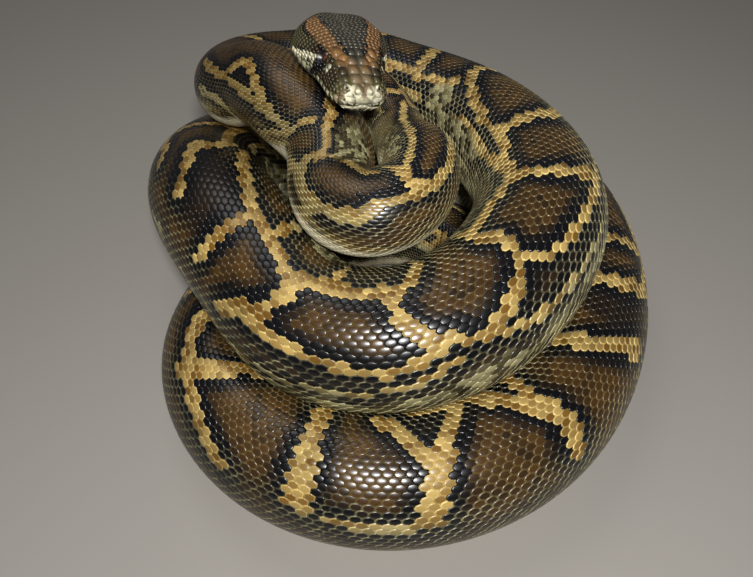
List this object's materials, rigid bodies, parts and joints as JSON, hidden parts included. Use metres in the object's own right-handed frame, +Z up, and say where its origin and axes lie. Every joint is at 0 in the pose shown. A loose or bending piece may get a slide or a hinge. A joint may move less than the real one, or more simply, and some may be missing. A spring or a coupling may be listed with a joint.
{
  "type": "burmese python, coiled museum model",
  "caption": "Life-size still model of a coiled python: heavy blotched body in stacked coils, a small loop on top and the head raised over it.",
  "frame": {"origin": "centre of the coils' footprint, on the surface they lie on", "axes": "+Z up; the head faces -Y, the front; +X is the viewer's right from the front"},
  "size_m": [0.5105, 0.575, 0.3097],
  "materials": {
    "body_skin": "small smooth overlapping scales, glossy, with brown black-edged blotches parted by a golden tan net; pale cream belly shields",
    "head_skin": "smooth glossy head shields, a grey-brown spearhead between two tan bands, cream and black cheeks, cream lips",
    "eye": "wet clear spectacle over a dark brown iris with an upright slit pupil"
  },
  "bodies": {
    "root": {"head": "head_skin", "eye_left": "eye", "eye_right": "eye", "neck": "body_skin", "trunk_1": "body_skin", "trunk_2": "body_skin", "trunk_3": "body_skin", "trunk_4": "body_skin", "trunk_5": "body_skin", "trunk_6": "body_skin", "trunk_7": "body_skin", "trunk_8": "body_skin", "trunk_9": "body_skin", "tail": "body_skin"}
  },
  "joints": []
}
